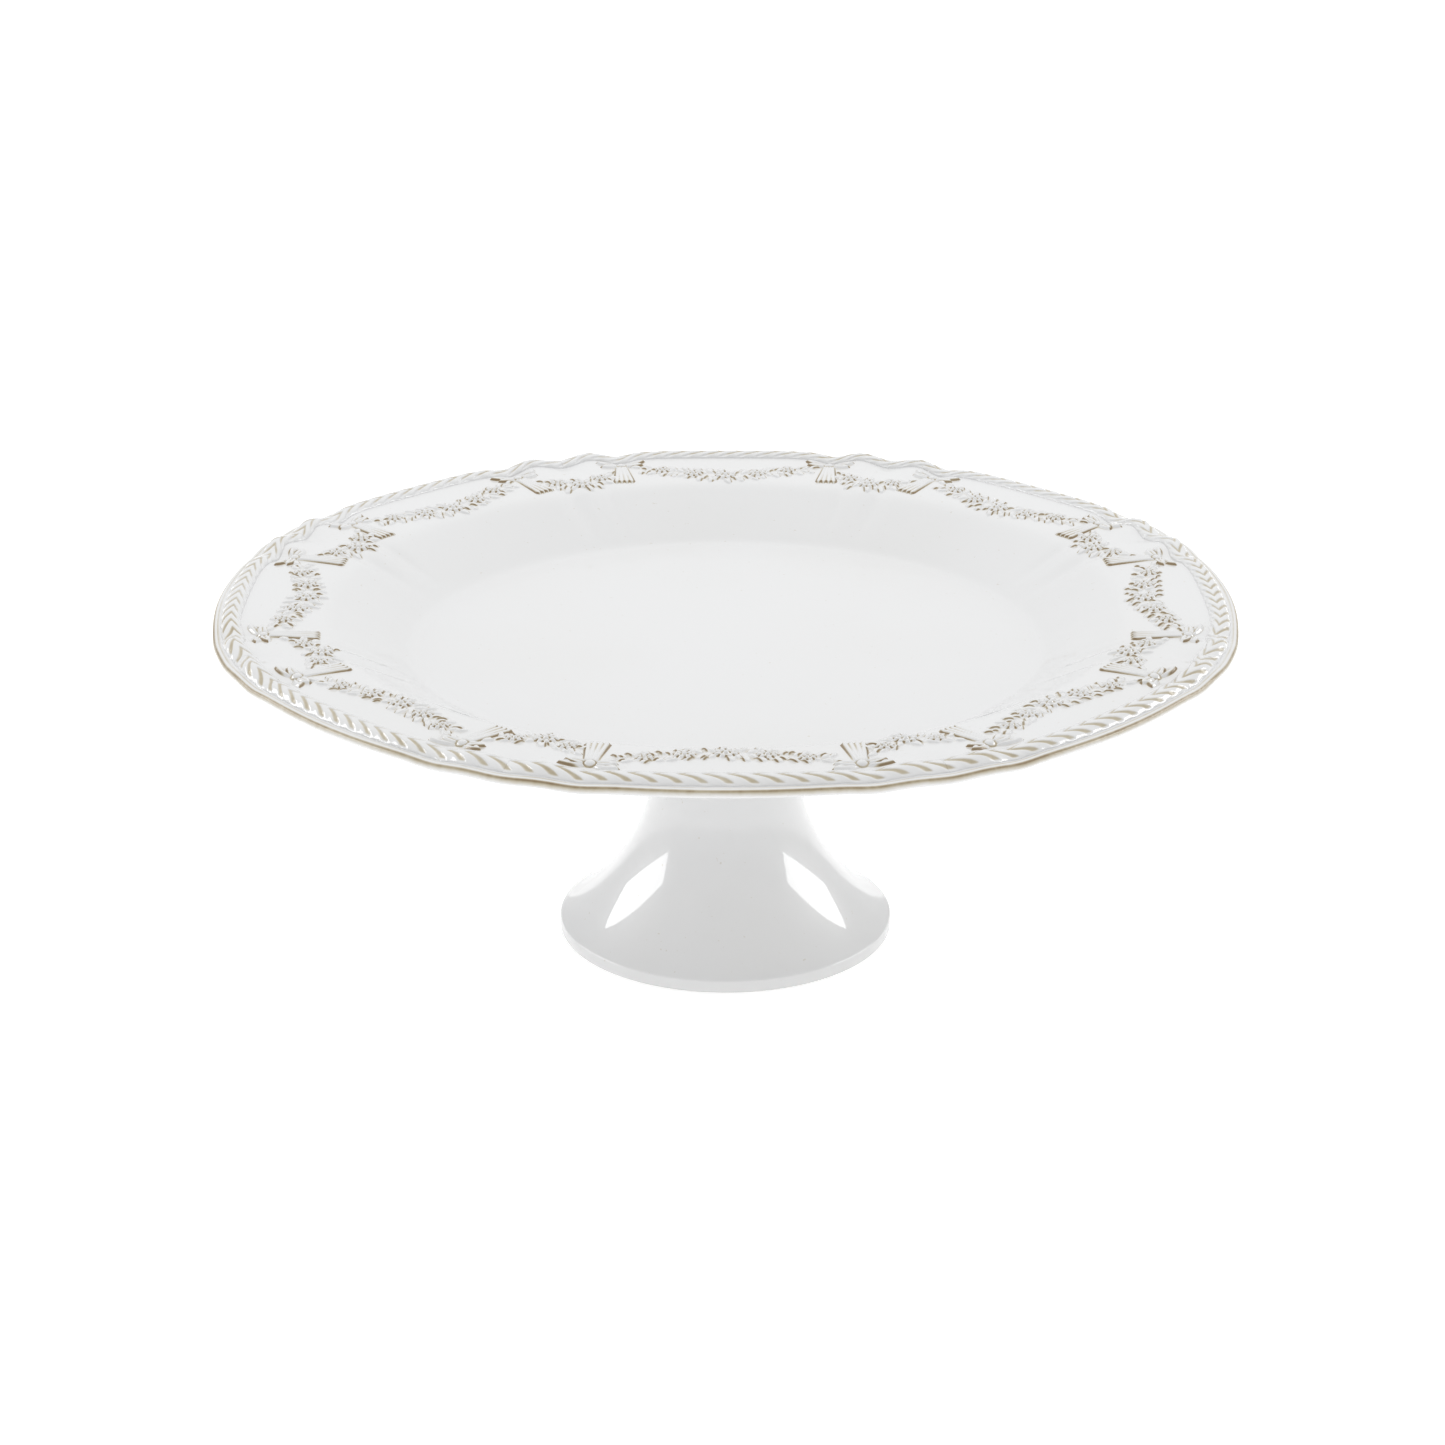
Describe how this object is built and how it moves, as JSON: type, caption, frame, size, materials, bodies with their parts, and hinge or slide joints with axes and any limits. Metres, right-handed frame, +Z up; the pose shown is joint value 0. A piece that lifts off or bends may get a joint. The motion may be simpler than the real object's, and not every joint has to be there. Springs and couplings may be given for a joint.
{
  "type": "cake stand",
  "caption": "Footed round ceramic cake stand with a softly lobed rim, a rope border, raised garlands and bows, and a hollow flared pedestal.",
  "frame": {"origin": "middle of the foot ring, on the surface that the stand rests on", "axes": "+Z up along the pedestal's axis, +X through the middle of one long arc of the rim"},
  "size_m": [0.3328, 0.3328, 0.1198],
  "materials": {
    "plate_glaze": "glossy white glaze over stoneware, with a tan-brown wear line round the lip",
    "pedestal_glaze": "glossy white glaze, unglazed foot ring",
    "fired_slip": "fired slip, satin",
    "rope_glaze": "glossy white glaze, tan-brown in the crevices between strands",
    "relief_glaze": "glossy white glaze, tan-brown rubbed into the edges of the relief"
  },
  "bodies": {
    "root": {"plate": "plate_glaze", "pedestal": "pedestal_glaze", "luting_slip": "fired_slip", "rope_1": "rope_glaze", "rope_2": "rope_glaze", "rope_3": "rope_glaze", "rope_4": "rope_glaze", "rope_5": "rope_glaze", "rope_6": "rope_glaze", "rope_7": "rope_glaze", "rope_8": "rope_glaze", "long_garland_1": "relief_glaze", "long_garland_2": "relief_glaze", "long_garland_3": "relief_glaze", "long_garland_4": "relief_glaze", "long_garland_5": "relief_glaze", "long_garland_6": "relief_glaze", "long_garland_7": "relief_glaze", "long_garland_8": "relief_glaze", "short_garland_1": "relief_glaze", "short_garland_2": "relief_glaze", "short_garland_3": "relief_glaze", "short_garland_4": "relief_glaze", "short_garland_5": "relief_glaze", "short_garland_6": "relief_glaze", "short_garland_7": "relief_glaze", "short_garland_8": "relief_glaze", "left_bow_1": "relief_glaze", "left_bow_2": "relief_glaze", "left_bow_3": "relief_glaze", "left_bow_4": "relief_glaze", "left_bow_5": "relief_glaze", "left_bow_6": "relief_glaze", "left_bow_7": "relief_glaze", "left_bow_8": "relief_glaze", "right_bow_1": "relief_glaze", "right_bow_2": "relief_glaze", "right_bow_3": "relief_glaze", "right_bow_4": "relief_glaze", "right_bow_5": "relief_glaze", "right_bow_6": "relief_glaze", "right_bow_7": "relief_glaze", "right_bow_8": "relief_glaze"}
  },
  "joints": []
}
